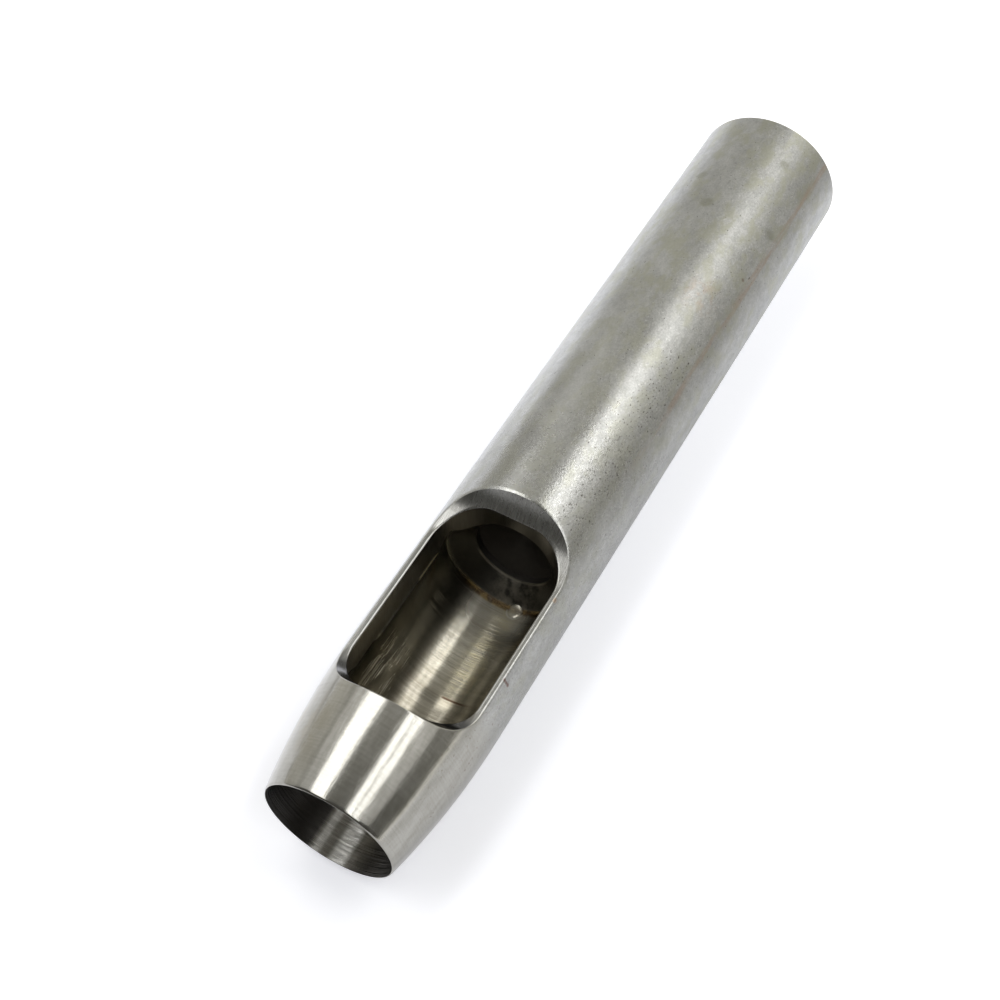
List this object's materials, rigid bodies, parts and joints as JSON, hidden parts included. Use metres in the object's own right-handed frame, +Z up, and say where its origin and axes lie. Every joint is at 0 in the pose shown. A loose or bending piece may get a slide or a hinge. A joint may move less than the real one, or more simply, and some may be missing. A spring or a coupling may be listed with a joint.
{
  "type": "hollow punch",
  "caption": "Round steel hollow punch: a sharp tubular nose cuts discs from leather or gasket sheet, a milled side window lets them out, and a solid shank takes the hammer.",
  "frame": {"origin": "on the surface that the tool lies on, below the middle of its length", "axes": "+X along the tool from the cutting edge to the struck end, +Z up through the window"},
  "size_m": [0.146, 0.0254, 0.0254],
  "materials": {
    "tool_steel": "bare steel, ground and lightly oiled, satin on the shank and brighter on the sharpened nose"
  },
  "bodies": {
    "root": {"punch_body": "tool_steel"}
  },
  "joints": []
}
